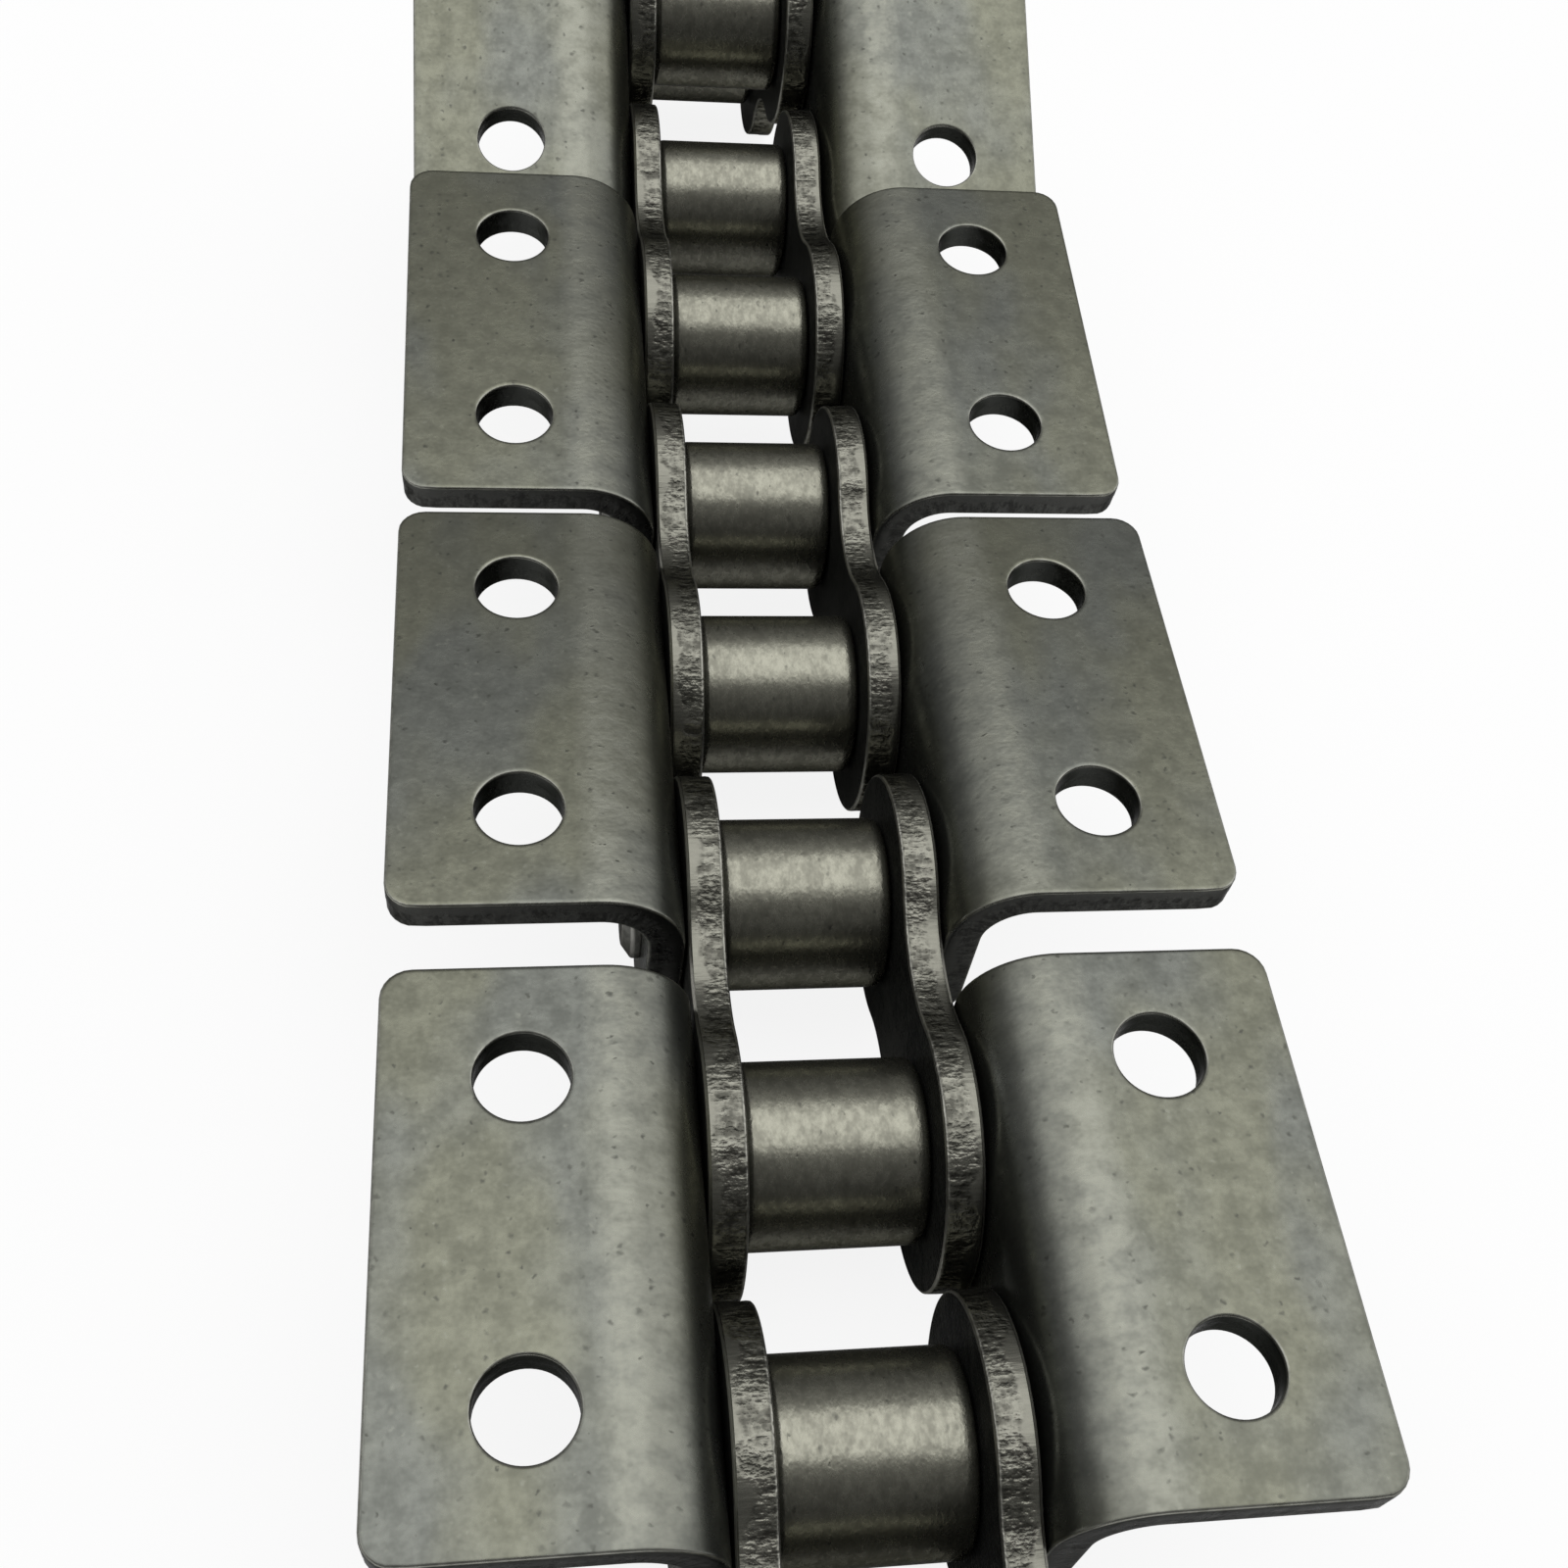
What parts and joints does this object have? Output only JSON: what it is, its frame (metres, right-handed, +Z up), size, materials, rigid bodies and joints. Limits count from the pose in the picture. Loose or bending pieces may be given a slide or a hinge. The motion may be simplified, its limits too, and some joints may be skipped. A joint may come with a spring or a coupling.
{
  "type": "conveyor chain",
  "caption": "Strand of roller chain for conveying: waisted inner links with rollers, and outer links whose plates bend out into wide, flat, drilled flanges on both sides.",
  "frame": {"origin": "on the floor, below the middle of the strand: the middle of the bounding box's bottom face", "axes": "+X across the chain to the right, +Y along the chain from the near end to the far end, +Z up"},
  "size_m": [0.0728, 0.2446, 0.0459],
  "materials": {
    "attachment": "dark, oiled, mottled hot-rolled steel with worn bright rims",
    "inner_plate": "dark, oiled, blanked steel with a sheared edge",
    "roller": "dark, oiled, hardened steel with a satin sheen",
    "bush": "hardened steel, oiled",
    "pin": "hardened steel, its ends riveted"
  },
  "bodies": {
    "inner_link_1": {"inner_link_1_left_plate": "inner_plate", "inner_link_1_right_plate": "inner_plate", "inner_link_1_near_bush": "bush", "inner_link_1_far_bush": "bush"},
    "inner_link_1_near_roller": {"inner_link_1_near_roller": "roller"},
    "inner_link_1_far_roller": {"inner_link_1_far_roller": "roller"},
    "outer_link_1": {"outer_link_1_left_attachment": "attachment", "outer_link_1_right_attachment": "attachment", "outer_link_1_near_pin": "pin", "outer_link_1_far_pin": "pin"},
    "inner_link_2": {"inner_link_2_left_plate": "inner_plate", "inner_link_2_right_plate": "inner_plate", "inner_link_2_near_bush": "bush", "inner_link_2_far_bush": "bush"},
    "inner_link_2_near_roller": {"inner_link_2_near_roller": "roller"},
    "inner_link_2_far_roller": {"inner_link_2_far_roller": "roller"},
    "outer_link_2": {"outer_link_2_left_attachment": "attachment", "outer_link_2_right_attachment": "attachment", "outer_link_2_near_pin": "pin", "outer_link_2_far_pin": "pin"},
    "inner_link_3": {"inner_link_3_left_plate": "inner_plate", "inner_link_3_right_plate": "inner_plate", "inner_link_3_near_bush": "bush", "inner_link_3_far_bush": "bush"},
    "inner_link_3_near_roller": {"inner_link_3_near_roller": "roller"},
    "inner_link_3_far_roller": {"inner_link_3_far_roller": "roller"},
    "outer_link_3": {"outer_link_3_left_attachment": "attachment", "outer_link_3_right_attachment": "attachment", "outer_link_3_near_pin": "pin", "outer_link_3_far_pin": "pin"},
    "inner_link_4": {"inner_link_4_left_plate": "inner_plate", "inner_link_4_right_plate": "inner_plate", "inner_link_4_near_bush": "bush", "inner_link_4_far_bush": "bush"},
    "inner_link_4_near_roller": {"inner_link_4_near_roller": "roller"},
    "inner_link_4_far_roller": {"inner_link_4_far_roller": "roller"},
    "outer_link_4": {"outer_link_4_left_attachment": "attachment", "outer_link_4_right_attachment": "attachment", "outer_link_4_near_pin": "pin", "outer_link_4_far_pin": "pin"},
    "inner_link_5": {"inner_link_5_left_plate": "inner_plate", "inner_link_5_right_plate": "inner_plate", "inner_link_5_near_bush": "bush", "inner_link_5_far_bush": "bush"},
    "inner_link_5_near_roller": {"inner_link_5_near_roller": "roller"},
    "inner_link_5_far_roller": {"inner_link_5_far_roller": "roller"}
  },
  "joints": [
    {"name": "outer_link_1_near_hinge", "type": "hinge", "parent": "inner_link_1", "child": "outer_link_1", "pos_m": [0, -0.08479, 0.01206], "axis": [1, 0, 0], "range_deg": [-36, 10.5]},
    {"name": "outer_link_1_far_hinge", "type": "hinge", "parent": "outer_link_1", "child": "inner_link_2", "pos_m": [0, -0.05939, 0.01206], "axis": [1, 0, 0], "range_deg": [-36, 10.5]},
    {"name": "outer_link_2_near_hinge", "type": "hinge", "parent": "inner_link_2", "child": "outer_link_2", "pos_m": [0, -0.03399, 0.01206], "axis": [1, 0, 0], "range_deg": [-36, 10.5]},
    {"name": "outer_link_2_far_hinge", "type": "hinge", "parent": "outer_link_2", "child": "inner_link_3", "pos_m": [0, -0.00859, 0.01206], "axis": [1, 0, 0], "range_deg": [-36, 10.5]},
    {"name": "outer_link_3_near_hinge", "type": "hinge", "parent": "inner_link_3", "child": "outer_link_3", "pos_m": [0, 0.01681, 0.01206], "axis": [1, 0, 0], "range_deg": [-42, 4.5]},
    {"name": "outer_link_3_far_hinge", "type": "hinge", "parent": "outer_link_3", "child": "inner_link_4", "pos_m": [0, 0.04207, 0.01472], "axis": [1, 0, 0], "range_deg": [-31, 0]},
    {"name": "outer_link_4_near_hinge", "type": "hinge", "parent": "inner_link_4", "child": "outer_link_4", "pos_m": [0, 0.06746, 0.01516], "axis": [1, 0, 0], "range_deg": [-63.35, 0]},
    {"name": "outer_link_4_far_hinge", "type": "hinge", "parent": "outer_link_4", "child": "inner_link_5", "pos_m": [0, 0.08982, 0.02723], "axis": [1, 0, 0], "range_deg": [-7, 75.5]},
    {"name": "inner_link_1_near_roller_spin", "type": "hinge", "parent": "inner_link_1", "child": "inner_link_1_near_roller", "pos_m": [0, -0.11019, 0.01206], "axis": [1, 0, 0], "continuous": true},
    {"name": "inner_link_1_far_roller_spin", "type": "hinge", "parent": "inner_link_1", "child": "inner_link_1_far_roller", "pos_m": [0, -0.08479, 0.01206], "axis": [1, 0, 0], "continuous": true},
    {"name": "inner_link_2_near_roller_spin", "type": "hinge", "parent": "inner_link_2", "child": "inner_link_2_near_roller", "pos_m": [0, -0.05939, 0.01206], "axis": [1, 0, 0], "continuous": true},
    {"name": "inner_link_2_far_roller_spin", "type": "hinge", "parent": "inner_link_2", "child": "inner_link_2_far_roller", "pos_m": [0, -0.03399, 0.01206], "axis": [1, 0, 0], "continuous": true},
    {"name": "inner_link_3_near_roller_spin", "type": "hinge", "parent": "inner_link_3", "child": "inner_link_3_near_roller", "pos_m": [0, -0.00859, 0.01206], "axis": [1, 0, 0], "continuous": true},
    {"name": "inner_link_3_far_roller_spin", "type": "hinge", "parent": "inner_link_3", "child": "inner_link_3_far_roller", "pos_m": [0, 0.01681, 0.01206], "axis": [1, 0, 0], "continuous": true},
    {"name": "inner_link_4_near_roller_spin", "type": "hinge", "parent": "inner_link_4", "child": "inner_link_4_near_roller", "pos_m": [0, 0.04207, 0.01472], "axis": [1, 0, 0], "continuous": true},
    {"name": "inner_link_4_far_roller_spin", "type": "hinge", "parent": "inner_link_4", "child": "inner_link_4_far_roller", "pos_m": [0, 0.06746, 0.01516], "axis": [1, 0, 0], "continuous": true},
    {"name": "inner_link_5_near_roller_spin", "type": "hinge", "parent": "inner_link_5", "child": "inner_link_5_near_roller", "pos_m": [0, 0.08982, 0.02723], "axis": [1, 0, 0], "continuous": true},
    {"name": "inner_link_5_far_roller_spin", "type": "hinge", "parent": "inner_link_5", "child": "inner_link_5_far_roller", "pos_m": [0, 0.11019, 0.01206], "axis": [1, 0, 0], "continuous": true}
  ]
}
